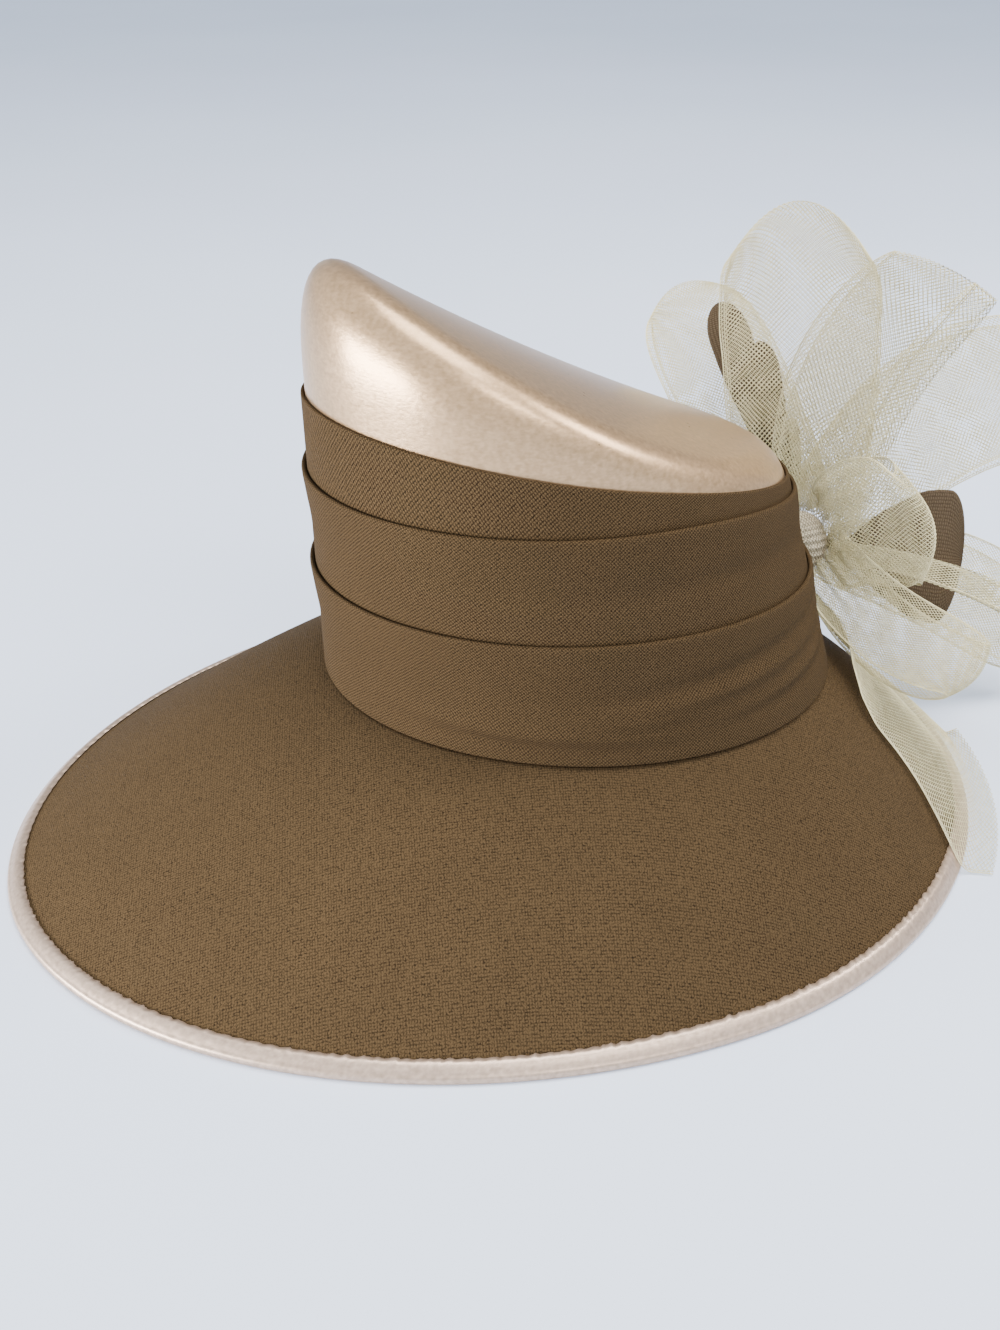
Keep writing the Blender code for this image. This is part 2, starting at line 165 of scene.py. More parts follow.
# Soft creases pressed into the bands
CREASES = (
    # band, bearing, spread, height share, slope per degree, width share, depth
    ("band_lower", -76, 30, 0.50, 0.0030, 0.055, 0.0013),
    ("band_lower", -70, 30, 0.66, 0.0034, 0.060, -0.0011),
    ("band_lower", -55, 22, 0.36, 0.0030, 0.050, 0.0010),
    ("band_lower", -60, 24, 0.25, 0.0024, 0.060, -0.0008),
    ("band_lower", -128, 24, 0.15, -0.0010, 0.035, -0.0012),
    ("band_lower", -126, 26, 0.25, -0.0012, 0.050, 0.0012),
    ("band_lower", -100, 14, 0.34, 0.0020, 0.045, 0.0008),
    ("band_lower", 60, 30, 0.40, 0.0012, 0.070, 0.0012),
    ("band_lower", 130, 24, 0.55, -0.0010, 0.070, -0.0010),
    ("band_middle", -70, 30, 0.55, 0.0014, 0.090, -0.0007),
    ("band_middle", -130, 24, 0.40, -0.0010, 0.080, 0.0006),
    ("band_middle", 90, 40, 0.50, 0.0010, 0.090, 0.0008),
)

# Binding: how far it puffs, and the puckers and nicks along its inner edge
BINDING_PUFF = 0.0006
PUCKER_LENGTH = 0.0052
PUCKER_DEPTH = 0.00035
PUCKER_DRIFT = 0.031
NICK_DEPTH = 0.0004

# Unevenness of the brim: height of its waves, and how many go round it
BRIM_WAVE = 0.00025
BRIM_WAVES = 7

# Gathers of the knot: how many, and their depth as a share of its radius
KNOT_PLEATS = 26
KNOT_PLEAT_DEPTH = 0.07

# Leaf: share of the length where its tip starts to round, its middle vein and how far it is cupped
LEAF_TIP = 0.84
VEIN_DEPTH = 0.00035
VEIN_WIDTH = 0.09
LEAF_CUP = 0.10

# Net ribbon: flat width and the threads that it is woven of
NET_WIDTH = 0.070
NET_PITCH = 0.00165
THREAD_RADIUS = 0.00016
THREAD_LAP = 0.00009
SELVEDGE_RADIUS = 0.00024
SELVEDGE_STEP = 0.0010
RUFFLE = 0.0016
RUFFLE_LENGTH = 0.055

# How a loop's net lies: its two layers shifted sideways, pleats at the root, and a folded edge
LAYER_SHIFT = 0.004
PLEATS = 5
PLEAT_DEPTH = 0.0012
FOLDED = {"loop_high": 0.20}
FOLD_ROUND = 0.008
FOLD_LIFT = 0.0010

# Colours of each cloth, its dark and its light tone
BAND_COLOURS = ((0.010, 0.0062, 0.0028), (0.078, 0.048, 0.0215))
BRIM_COLOURS = ((0.008, 0.0050, 0.0023), (0.066, 0.0415, 0.0190))
SATIN_COLOURS = ((0.37, 0.23, 0.11), (0.53, 0.34, 0.18))
BINDING_COLOURS = ((0.37, 0.265, 0.19), (0.56, 0.41, 0.305))
THREAD_COLOURS = ((0.60, 0.52, 0.28), (0.78, 0.70, 0.42))
KNOT_COLOURS = ((0.16, 0.125, 0.075), (0.60, 0.52, 0.37))
LEAF_COLOURS = ((0.055, 0.038, 0.022), (0.105, 0.074, 0.046))
FLOOR_COLOURS = ((0.66, 0.73, 0.86), (0.70, 0.77, 0.90))

# Grain of the cloths in metres, and how far they are raised
CREPE_WEAVE = 0.00095
CREPE_GRAIN = 0.0007
CREPE_RELIEF = 0.00022
SATIN_GRAIN = 0.0009
SATIN_RELIEF = 0.00008

# Camera of the photograph, from the crown's middle, with the hat turned by HAT_TURN under it
HAT_TURN = radians(25)
CAMERA_PLACE = Vector((-0.0320, -0.5449, 0.354))
CAMERA_PITCH = radians(29)
FOCAL_PIXELS = 1500
FRAME_HEIGHT = 1330
SENSOR = 36

# Strength of the daylight all round, and weaker towards the far side in the photograph's axes
WORLD_NEAR = 1.55
WORLD_FAR = 0.40
FAR_SIDE = (0.35, 0.93, 0.05)

# Lamps, in the photograph's axes from the crown's middle
LAMPS = (
    # name, place, size, watts, colour
    ("window", (-1.12, -0.55, 0.13), (0.9, 0.22), 42.0, (1.0, 0.985, 0.98)),
    ("front", (0.55, -0.95, 1.15), (0.7, 0.25), 8.0, (1.0, 0.97, 0.95)),
    ("right", (1.15, 0.10, 1.15), (0.6, 0.4), 17.0, (1.0, 0.96, 0.93)),
    ("overhead", (0.25, -0.05, 2.05), (1.5, 1.2), 60.0, (1.0, 0.99, 0.98)),
)
LAMP_TARGET = (0.0, 0.0, 0.10)
FLOOR_REACH = 8.0

BINDING_LOW, BINDING_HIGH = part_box("brim_binding")
MIDDLE = np.array([BINDING_LOW.x + BRIM_FRONT, (BINDING_LOW.y + BINDING_HIGH.y) / 2, 0.0])


# Meshes


def mesh_piece(name, points, faces, material, uv=None):
    """One smooth object from points and faces, given from the crown's middle."""
    mesh = bpy.data.meshes.new(name)
    mesh.from_pydata((np.asarray(points) + MIDDLE).tolist(), [], faces)
    if uv is not None:
        layer = mesh.uv_layers.new(name="cloth")
        layer.data.foreach_set("uv", np.asarray(uv, float).ravel())
    mesh.materials.append(material)
    mesh.shade_smooth()
    piece = bpy.data.objects.new(name, mesh)
    bpy.context.collection.objects.link(piece)
    return piece


def grid_faces(rows, columns, wrap_rows, wrap_columns):
    """Quads of a grid, as indices, and for each corner its row and column before wrapping."""
    i, j = np.meshgrid(
        np.arange(rows if wrap_rows else rows - 1),
        np.arange(columns if wrap_columns else columns - 1),
        indexing="ij",
    )
    i, j = i.ravel(), j.ravel()
    row = np.stack([i, i, i + 1, i + 1], 1)
    column = np.stack([j, j + 1, j + 1, j], 1)
    return (row % rows) * columns + column % columns, row, column


def grid_piece(name, grid, material, wrap_rows=False, wrap_columns=False, extra=()):
    """A surface through a grid of points, with a map in metres along its rows and columns."""
    rows, columns = grid.shape[:2]
    faces, row, column = grid_faces(rows, columns, wrap_rows, wrap_columns)
    step_u = np.linalg.norm(np.roll(grid, -1, 0) - grid, axis=2).mean(1)
    step_v = np.linalg.norm(np.roll(grid, -1, 1) - grid, axis=2).mean(0)
    u = np.concatenate([[0.0], np.cumsum(step_u)])
    v = np.concatenate([[0.0], np.cumsum(step_v)])
    uv = np.stack([u[row], v[column]], 2).reshape(-1, 2)
    spare = [np.zeros((len(face), 2)) for face in extra]
    uv = np.concatenate([uv, *spare])
    return mesh_piece(name, grid.reshape(-1, 3), faces.tolist() + list(extra), material, uv)


def stands_for(piece, node):
    """Put the piece on the hat in the place of one solid."""
    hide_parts(node)
    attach(piece, "root")


# Shapes of the hat, each from arrays that broadcast together


def wall_point(angle, height, offset=0.0):
    """Points of the crown's wall."""
    half_length = CROWN_LENGTH / 2 - TAPER * height + offset
    half_width = CROWN_WIDTH / 2 - TAPER * height + offset
    x = half_length * np.cos(angle) - LEAN * height
    y = half_width * np.sin(angle)
    return np.stack(np.broadcast_arrays(x, y, CROWN_LIFT + height), axis=-1)


def seat_height(angle):
    """Height of the brim's top where the crown stands on it."""
    return -SEAT_RISE * np.cos(angle)


def fold_height(row, angle):
    """Height of a band's top fold."""
    _, side, rise, dip = row
    back = np.maximum(np.cos(angle), 0.0)
    return side * TIP_HEIGHT - (rise * np.cos(angle) + dip * back * back) * TIP_RISE


def tip_height(x, y, inset):
    """Height of the slanted tip over a point of the plan."""
    slope = TIP_RISE / (CROWN_LENGTH / 2)
    sag = TIP_SAG * (x / (CROWN_LENGTH / 2)) ** 2
    dome = TIP_DOME * (y / (CROWN_WIDTH / 2)) ** 2
    twist = TIP_TWIST * x * y / (CROWN_LENGTH * CROWN_WIDTH / 4)
    return TIP_HEIGHT - slope * x + sag - dome - twist - inset * sqrt(1 + slope * slope)


def crown_columns(inset):
    """Grid of points over the crown: one row for each angle, from the seat to the tip's middle."""
    angle = np.arange(ROUND) * tau / ROUND
    height = np.full(ROUND, TIP_HEIGHT)
    for _ in range(12):
        corner = wall_point(angle, height, -inset)
        height = tip_height(corner[:, 0], corner[:, 1], inset)
    corner = wall_point(angle, height, -inset)
    nose = np.maximum(-np.cos(angle), 0.0) ** 2
    over = TIP_EDGE - inset + TIP_NOSE_IN * nose
    down = TIP_EDGE - inset + TIP_NOSE_DOWN * nose
    foot = seat_height(angle) + GAP
    top = height - down
    middle = np.array([-LEAN * TIP_HEIGHT, 0.0])
    inward = middle - corner[:, :2]
    plan = corner[:, :2] + inward / np.linalg.norm(inward, axis=1, keepdims=True) * over[:, None]
    high = np.column_stack([plan, CROWN_LIFT + tip_height(plan[:, 0], plan[:, 1], inset)])
    low = wall_point(angle, top, -inset)
    columns = [wall_point(angle, foot + (top - foot) * s, -inset) for s in np.linspace(0, 1, WALL_ROWS)[:-1]]
    for share in np.linspace(0, 1, EDGE_ROWS):
        first = low + (corner - low) * share
        second = corner + (high - corner) * share
        columns.append(first + (second - first) * share)
    for share in np.linspace(1, TIP_HOLE, TIP_ROWS)[1:]:
        spot = middle + (plan - middle) * share
        columns.append(np.column_stack([spot, CROWN_LIFT + tip_height(spot[:, 0], spot[:, 1], inset)]))
    return np.stack(columns, axis=1)


def brim_frame(angle):
    """Seat, edge, outward direction and overhang of the brim at each angle."""
    seat = wall_point(angle, seat_height(angle), -CROWN_WALL)
    binding = BRIM_THICKNESS / 2 + GAP + BINDING_WALL
    reach = np.where(np.cos(angle) > 0, BRIM_BACK + BRIM_SHIFT, BRIM_FRONT - BRIM_SHIFT) - binding
    power = 2 / BRIM_SQUARE
    x = np.sign(np.cos(angle)) * np.abs(np.cos(angle)) ** power * reach - BRIM_SHIFT
    y = np.sign(np.sin(angle)) * np.abs(np.sin(angle)) ** power * (BRIM_SIDE - binding)
    edge = np.stack(np.broadcast_arrays(x, y, BINDING_FOOT * binding), axis=-1)
    out = (edge - seat) * np.array([1.0, 1.0, 0.0])
    overhang = np.linalg.norm(out, axis=-1)
    return seat, edge, out / overhang[..., None], overhang


def brim_point(angle, share, offset=0.0):
    """Points of the brim, share 0 at the crown and 1 at the edge, offset square to its cloth."""
    angle, share, offset = np.broadcast_arrays(angle, share, offset)
    seat, edge, out, overhang = brim_frame(angle)
    top = seat[..., 2] - BRIM_THICKNESS / 2
    fall = top - edge[..., 2]
    reach = np.maximum(share, 0.0)
    slope = fall * BRIM_CURVE * reach ** (BRIM_CURVE - 1) / overhang
    normal = out * slope[..., None] + np.array([0.0, 0.0, 1.0])
    normal /= np.linalg.norm(normal, axis=-1, keepdims=True)
    point = seat + out * (overhang * share)[..., None]
    point[..., 2] = top - fall * reach**BRIM_CURVE
    return point + normal * offset[..., None]


def smooth_step(x):
    """0 to 1 with level ends."""
    x = np.clip(x, 0.0, 1.0)
    return x * x * (3 - 2 * x)


def smoothed(track, width):
    """A track evened out over an odd number of its steps, with its ends held."""
    kernel = np.hanning(width)
    kernel /= kernel.sum()
    return np.convolve(np.pad(track, width // 2, mode="edge"), kernel, mode="valid")


def running_length(line):
    """Length along a line of points, up to each of them."""
    return np.concatenate([[0.0], np.cumsum(np.linalg.norm(np.diff(line, axis=0), axis=1))])


def crease(name, bearing, share):
    """How far the pressed creases lift a band's face."""
    lift = 0.0
    for band, middle, spread, height, slope, width, depth in CREASES:
        if band == name:
            turn = (bearing - middle + 180) % 360 - 180
            along = np.exp(-((turn / spread) ** 2))
            across = np.exp(-(((share - height - slope * turn) / width) ** 2))
            lift = lift + depth * along * across
    return lift


def band_grid(i):
    """Closed outline of one band at each angle: up its inner face, round the fold and down."""
    angle = (np.arange(ROUND) * tau / ROUND)[:, None]
    above = i + 1 < len(BANDS)
    top = fold_height(BANDS[i], angle)
    foot = fold_height(BANDS[i - 1], angle) - BAND_LAP if i else seat_height(angle)
    foot = foot + GAP
    lap = GAP + BAND_WALL if above else 0.0
    bead = FOLD_BEAD if above else 0.0
    step = top - BAND_LAP - 2 * GAP
    turn = np.maximum(foot + (step - foot) * BAND_TURN, step - BAND_SLOPE)
    radius = (BAND_WALL + bead) / 2
    round_top = top - radius
    nose = np.linspace(pi, 0, FOLD_ROWS)[None, :]
    fall = np.linspace(0, 1, FACE_ROWS)[None, 1:]
    height = round_top + (foot + BAND_WALL / 2 - round_top) * fall
    swell = smooth_step((height - turn) / (top - FOLD_FALL - turn))
    bulge = bead * np.exp(-(((round_top - height) / FOLD_FALL) ** 2))
    share = (height - foot) / (top - foot)
    pressed = crease(BANDS[i][0], np.degrees(angle), share)
    face = GAP + BAND_WALL + lap * swell + bulge + pressed
    hem = np.linspace(0, -pi, FOLD_ROWS)[None, 1:]
    hem_radius = BAND_WALL / 2
    flat = np.ones_like(angle)
    heights = np.concatenate(
        [
            turn,
            step,
            round_top + radius * np.sin(nose),
            height,
            foot + hem_radius + hem_radius * np.sin(hem),
        ],
        axis=1,
    )
    offsets = np.concatenate(
        [
            GAP * flat,
            (GAP + lap) * flat,
            (GAP + lap + radius + radius * np.cos(nose)) * flat,
            face,
            (GAP + hem_radius + hem_radius * np.cos(hem)) * flat,
        ],
        axis=1,
    )
    return wall_point(angle, heights, offsets)


def binding_grid(rng):
    """Closed outline of the binding at each angle, puffed, with puckers along its inner edge."""
    angle = (np.arange(BINDING_ROUND) * tau / BINDING_ROUND)[:, None]
    _, edge, out, overhang = brim_frame(angle[:, 0])
    length = running_length(edge)
    pucker = np.sin(length / PUCKER_LENGTH * pi + 2 * np.sin(length / PUCKER_DRIFT)) ** 2
    nick = rng.random(BINDING_ROUND) ** 5
    inside = BRIM_THICKNESS / 2 + GAP
    outside = inside + BINDING_WALL
    width = BINDING_WIDTH + PUCKER_DEPTH * (pucker - 0.5) + NICK_DEPTH * nick
    far = (1 - width / overhang)[:, None]
    rise = np.linspace(0, 1, 11)[None, :]
    puff = BINDING_PUFF * np.sin(pi * rise**0.8)
    lift = inside + BINDING_WALL * smooth_step(rise * 3 + 0.2) + puff
    lift = lift - PUCKER_DEPTH * 0.6 * pucker[:, None] * (1 - rise) ** 2
    upper = brim_point(angle, far + (1 - far) * rise, np.maximum(lift, inside + GAP / 2))
    steep = np.arctan2(upper[:, -1, 2] - edge[:, 2], np.sum((upper[:, -1] - edge) * out, axis=1))
    turn = steep[:, None] + (-np.arcsin(BINDING_FOOT) - steep[:, None]) * np.linspace(0.06, 1, 14)[None, :]
    arc = out[:, None] * np.cos(turn)[..., None] + np.array([0, 0, 1.0]) * np.sin(turn)[..., None]
    nose = edge[:, None] + arc * outside
    chord = outside * sqrt(1 - BINDING_FOOT * BINDING_FOOT)
    foot = edge * np.array([1.0, 1.0, 0.0]) - out * chord
    under = brim_point(angle, far + (1 - far) * np.array([[0.5, 0.0]]), -outside)
    inner = np.concatenate(
        [
            brim_point(angle, far, -inside),
            brim_point(angle, 1.0, -inside),
            (edge + out * inside)[:, None],
            brim_point(angle, 1.0, inside),
            brim_point(angle, far, inside),
        ],
        axis=1,
    )
    return np.concatenate([upper, nose, foot[:, None], under, inner], axis=1)


# Bow


def run_axes(bearing, climb, roll):
    """Direction of a ribbon's run, across its width, and square to both."""
    level = Vector((cos(radians(bearing)), sin(radians(bearing)), 0.0))
    up = Vector((0.0, 0.0, 1.0))
    run = level * cos(radians(climb)) + up * sin(radians(climb))
    across = Matrix.Rotation(radians(roll), 3, run) @ up.cross(level)
    return np.array(run), np.array(across), np.array(run.cross(across))


def knot_middle():
    """Middle of the knot, whose face just clears the sloping side of the lower band."""
    slope = LEAN + TAPER
    face = sqrt(KNOT_DEPTH**2 + (KNOT_RADIUS * slope) ** 2)
    offset = GAP + BAND_WALL + FOLD_BEAD + GAP * sqrt(1 + slope * slope) + face
    return wall_point(radians(KNOT_BEARING), KNOT_HEIGHT, offset)


def knot_face(run):
    """Where a ribbon or leaf that runs this way starts, just clear of the knot."""
    side = np.array(Matrix.Rotation(-radians(KNOT_BEARING), 3, "Z") @ Vector(run))
    reach = 1 / sqrt((side[0] / KNOT_DEPTH) ** 2 + (side[1] ** 2 + side[2] ** 2) / KNOT_RADIUS**2)
    return knot_middle() + run * (reach + 2 * GAP)


def folded(edge, share):
    """Where a point across the flat ribbon lies once a share of its width is folded over."""
    flat = (edge + 1) / 2
    turned = np.sqrt((flat - share) ** 2 + FOLD_ROUND**2)
    across = 2 * turned / (1 - share) - 1
    over = smooth_step((share - flat) / (2 * FOLD_ROUND) + 0.5)
    return across, over


def loop_place(row, rng):
    """Length of a loop's ribbon, and a function from length and width to its place."""
    name, bearing, climb, roll, reach, opening, width, tip, root, bend, rounding, gather = row
    run, across, square = run_axes(bearing, climb, roll)
    start = knot_face(run)
    first = sin(radians(LOOP_ROOT_TURN)) ** LOOP_RUN
    turn = np.radians(np.linspace(LOOP_ROOT_TURN, 180 - LOOP_ROOT_TURN, 400))
    rise = (np.sin(turn) ** LOOP_RUN - first) / (1 - first)
    side = opening * BOW_REACH * LOOP_BELLY * np.cos(turn) * np.sin(turn)
    sideways = bend * BOW_REACH * 4 * rise * (1 - rise) + LAYER_SHIFT * np.cos(turn) * np.sin(turn)
    spread = root + (1 - root) * np.sin(turn) ** gather
    half = spread * (1 - (1 - tip) * np.sin(turn) ** LOOP_END) * width * RIBBON_WIDTH / 2
    line = start + (reach * BOW_REACH * rise)[:, None] * run + side[:, None] * square
    length = running_length(line)
    facing = np.abs(np.cos(turn))
    phase = rng.random(3) * tau
    fold = FOLDED.get(name, 0.0)

    def place(s, t):
        """Point at length s and at t across the flat ribbon, rippled at its selvedges."""
        shares, shift, wide, away, level = (
            np.interp(s, length, track) for track in (rise, sideways, half, side, facing)
        )
        edge = t / (NET_WIDTH / 2)
        over = 0.0
        if fold:
            edge, over = folded(edge, fold)
        out = reach * BOW_REACH * shares * (1 - rounding * (edge * shares) ** 2)
        grown = wide / (RIBBON_WIDTH / 2)
        ripple = np.sin(s / RUFFLE_LENGTH * tau + phase[0] + edge) * edge
        ripple = ripple + 0.5 * np.sin(s / RUFFLE_LENGTH * 1.7 * tau + phase[1]) * edge**2
        pleat = np.cos(edge * PLEATS * pi + phase[2]) * (1 - shares) ** 2 * PLEAT_DEPTH
        lift = away + ripple * level * RUFFLE * grown + pleat + over * FOLD_LIFT
        middle = start + run * out[..., None] + square * lift[..., None]
        return middle + across * (shift + edge * wide)[..., None]

    return length[-1], place


def twist_place():
    """Length of the folded strand, and a function from length and width to its place."""
    run, across, square = run_axes(TWIST["bearing"], TWIST["climb"], TWIST["roll"])
    start = knot_face(run)
    reach = TWIST["reach"] * BOW_REACH
    half = TWIST["width"] * RIBBON_WIDTH / 2

    def place(s, t):
        """The flat ribbon pleated to and fro across a narrow strand."""
        share = s / reach
        pleat = np.arcsin(np.sin(t / NET_WIDTH * 3 * pi + 0.6 * share)) / (pi / 2)
        layer = t / NET_WIDTH * RIBBON_WALL * 2.4
        sag = TWIST["sag"] * BOW_REACH * np.sin(pi * share)
        wide = half * (1.0 + 0.6 * share)
        middle = start + run * s[..., None] + np.array([0, 0, 1.0]) * sag[..., None]
        return middle + across * (pleat * wide)[..., None] + square * layer[..., None]

    return reach, place


def tail_place():
    """Length of the tail, and a function from length and width to its place on the brim."""
    table = np.array(TAIL_BRIM, float)
    clear = BRIM_THICKNESS / 2 + GAP + BINDING_WALL + BINDING_PUFF + TAIL_CLEAR / 2
    rows = np.linspace(0, len(table) - 1, 300)
    knots = np.arange(len(table))
    reach, near, far, lift = (np.interp(rows, knots, table[:, k]) for k in range(4))
    near, far, lift = (smoothed(track, 41) for track in (near, far, lift))
    middle = brim_point(np.radians((near + far) / 2), reach, clear)
    middle[:, 2] += lift * KNOT_HEIGHT
    length = running_length(middle)

    def place(s, t):
        """Point of the ribbon as it lies on the brim and over the binding."""
        edge = t / NET_WIDTH + 0.5
        at = [np.interp(s, length, track) for track in (reach, near, far, lift)]
        bearing = np.radians(at[1] + (at[2] - at[1]) * edge)
        point = brim_point(bearing, at[0], clear)
        wave = np.sin(s / 0.030 + edge * 5) * smooth_step((edge - 0.2) * 1.4) * RUFFLE
        point[..., 2] += at[3] * KNOT_HEIGHT + np.abs(wave)
        point[..., 2] = np.maximum(point[..., 2], RIBBON_WALL)
        return point

    return length[-1], place


def surface_normal(place, s, t):
    """Unit normal of a placed ribbon."""
    step = 0.0004
    along = place(s + step, t) - place(s - step, t)
    side = place(s, t + step) - place(s, t - step)
    normal = np.cross(along, side)
    return normal / np.maximum(np.linalg.norm(normal, axis=-1, keepdims=True), 1e-12)


def thread(place, s, t, radius, lap, sides):
    """One thread along a path of the flat ribbon: its points and faces as a closed tube."""
    line = place(s, t)
    normal = surface_normal(place, s, t)
    along = np.gradient(line, axis=0)
    along /= np.maximum(np.linalg.norm(along, axis=1, keepdims=True), 1e-12)
    side = np.cross(normal, along)
    turn = np.arange(sides) * tau / sides + pi / 2
    ring = side[:, None] * np.cos(turn)[None, :, None] + normal[:, None] * np.sin(turn)[None, :, None]
    points = (line + normal * lap)[:, None] + ring * radius
    faces, _, _ = grid_faces(len(s), sides, False, True)
    caps = [list(range(sides))[::-1], list(range((len(s) - 1) * sides, len(s) * sides))]
    return points.reshape(-1, 3), faces.tolist(), caps


def net_paths(length):
    """Paths of every thread over the flat ribbon: slanted both ways, then along each selvedge."""
    half = NET_WIDTH / 2
    step = NET_PITCH * sqrt(2)
    for way in (1, -1):
        for start in np.arange(-half + step / 2, length + half, step):
            low, high = sorted((way * (0.0 - start), way * (length - start)))
            low, high = max(low, -half), min(high, half)
            if high - low > step:
                t = np.linspace(low, high, max(int((high - low) / step) + 1, 2))
                yield start + way * t, t, THREAD_RADIUS, way * THREAD_LAP, 3
    s = np.linspace(0, length, int(length / step))
    for edge in (half, half - SELVEDGE_STEP, SELVEDGE_STEP - half, -half):
        radius = SELVEDGE_RADIUS if abs(edge) == half else THREAD_RADIUS
        yield s, np.full(len(s), edge), radius, 0.0, 4


def net_area(length):
    """Flat area of a net ribbon's threads: half the surface of each, along its path on the flat ribbon."""
    area = 0.0
    for s, t, radius, _, sides in net_paths(length):
        run = np.hypot(np.diff(s), np.diff(t)).sum()
        area += run * radius * sides * sin(pi / sides)
    return float(area)


def net_piece(name, length, place, material):
    """A ribbon of net with every thread modelled."""
    points, faces, maps, count = [], [], [], 0
    for s, t, radius, lap, sides in net_paths(length):
        tube, quads, caps = thread(place, s, t, radius, lap, sides)
        points.append(tube)
        for face in quads + caps:
            faces.append([k + count for k in face])
            maps += [(s[k // sides], t[k // sides]) for k in face]
        count += len(tube)
    return mesh_piece(name, np.concatenate(points), faces, material, maps)


def knot_grid():
    """The gathered tie: a flattened ball with many fine pleats."""
    turn = np.arange(KNOT_ROUND) * tau / KNOT_ROUND
    climb = np.linspace(-pi / 2, pi / 2, KNOT_ROWS + 2)[1:-1]
    wave = 0.5 + 0.5 * np.cos(turn * KNOT_PLEATS + 1.5 * np.sin(turn * 3))
    pleat = 1 - KNOT_PLEAT_DEPTH * wave[:, None]
    pleat = 1 - (1 - pleat) * np.cos(climb)[None, :] ** 0.3
    radius = KNOT_RADIUS * np.cos(climb)[None, :] * pleat
    x = np.broadcast_to(KNOT_DEPTH * np.sin(climb)[None, :], radius.shape)
    return knot_middle() + np.stack([x, radius * np.cos(turn)[:, None], radius * np.sin(turn)[:, None]], -1)


def leaf_halves(row):
    """Shares of the length where a leaf's rows lie, and its half width at each."""
    outline = np.array(LEAF_OUTLINE)
    along = np.sin(np.linspace(0, pi / 2, LEAF_ROWS))
    fine = np.linspace(0, 1, 241)
    spread = np.interp(along, fine, smoothed(np.interp(fine, outline[:, 0], outline[:, 1]), 51))
    spread = spread * np.sqrt(np.clip(1 - ((along - LEAF_TIP) / 0.16).clip(0.0) ** 2, 0.004, 1.0))
    return along, spread * row[5] * BOW_REACH / 2


def leaf_grid(row):
    """A leaf of stiffened cloth, padded to its middle, cupped and veined."""
    _, bearing, climb, roll, reach, _ = row
    run, across, square = run_axes(bearing, climb, roll)
    start = knot_face(run)
    length = reach * BOW_REACH
    along, half = leaf_halves(row)
    bend = LEAF_BEND * length * along * along
    middle = start + run * (length * along)[:, None] + square * bend[:, None]
    rim = np.linspace(0, tau, LEAF_RIM + 1)[:-1]
    x = np.cos(rim)[None, :]
    swell = LEAF_WALL / 2 * np.sign(np.sin(rim)) * np.abs(np.sin(rim)) ** 0.6
    vein = -VEIN_DEPTH * np.exp(-((x / VEIN_WIDTH) ** 2)) * np.sign(np.sin(rim))
    cup = LEAF_CUP * half[:, None] * x * x
    lift = swell[None, :] + vein + cup
    return middle[:, None] + across * (half[:, None] * x)[..., None] + square * lift[..., None]


# Materials


def new_material(name):
    """A material with its node tree, shader and output at hand."""
    material = bpy.data.materials.new(name)
    material.use_nodes = True
    nodes = material.node_tree.nodes
    return material, nodes, material.node_tree.links, nodes["Principled BSDF"]


def node(nodes, kind, place, **inputs):
    """Add a node, setting its inputs by name."""
    made = nodes.new(kind)
    made.location = place
    for name, value in inputs.items():
        made.inputs[name.replace("_", " ")].default_value = value
    return made


def cloth_coordinates(nodes, links, output, turn):
    """Coordinates over the cloth in metres, turned so that the weave lies on the slant."""
    source = node(nodes, "ShaderNodeTexCoord", (-1400, 0))
    mapping = node(nodes, "ShaderNodeMapping", (-1200, 0), Rotation=(0.0, 0.0, turn))
    links.new(source.outputs[output], mapping.inputs["Vector"])
    return mapping.outputs["Vector"]


def noise(nodes, links, vector, place, size, detail=2.0, roughness=0.5):
    """Noise whose lumps are about size across."""
    made = node(nodes, "ShaderNodeTexNoise", place, Scale=1.0 / size, Detail=detail, Roughness=roughness)
    links.new(vector, made.inputs["Vector"])
    return made.outputs["Fac"]


def ridges(nodes, links, vector, place, size, direction, wander):
    """Soft parallel ridges, size apart, that wander a little."""
    made = nodes.new("ShaderNodeTexWave")
    made.location = place
    made.wave_type = "BANDS"
    made.bands_direction = direction
    made.inputs["Scale"].default_value = tau / (20.0 * size)
    made.inputs["Distortion"].default_value = wander
    made.inputs["Detail"].default_value = 1.0
    made.inputs["Detail Scale"].default_value = 2.0
    links.new(vector, made.inputs["Vector"])
    return made.outputs["Fac"]


def math_node(nodes, links, operation, place, *values):
    """A math node on sockets or numbers."""
    made = nodes.new("ShaderNodeMath")
    made.operation = operation
    made.location = place
    for socket, value in zip(made.inputs, values):
        if isinstance(value, (int, float)):
            socket.default_value = value
        else:
            links.new(value, socket)
    return made.outputs[0]


def ramp(nodes, links, factor, place, *stops):
    """Colours over a factor."""
    made = nodes.new("ShaderNodeValToRGB")
    made.location = place
    elements = made.color_ramp.elements
    while len(elements) < len(stops):
        elements.new(0.5)
    for element, (spot, colour) in zip(elements, stops):
        element.position = spot
        element.color = (*colour, 1.0)
    links.new(factor, made.inputs["Fac"])
    return made.outputs["Color"]


def tint(nodes, links, colour, factor, place, low, high):
    """Multiply a colour by a grey that follows a factor."""
    grey = node(nodes, "ShaderNodeMapRange", (place[0] - 180, place[1] - 160))
    grey.inputs["To Min"].default_value = low
    grey.inputs["To Max"].default_value = high
    links.new(factor, grey.inputs["Value"])
    made = nodes.new("ShaderNodeMix")
    made.data_type = "RGBA"
    made.blend_type = "MULTIPLY"
    made.location = place
    made.inputs["Factor"].default_value = 1.0
    links.new(colour, made.inputs["A"])
    links.new(grey.outputs["Result"], made.inputs["B"])
    return made.outputs["Result"]


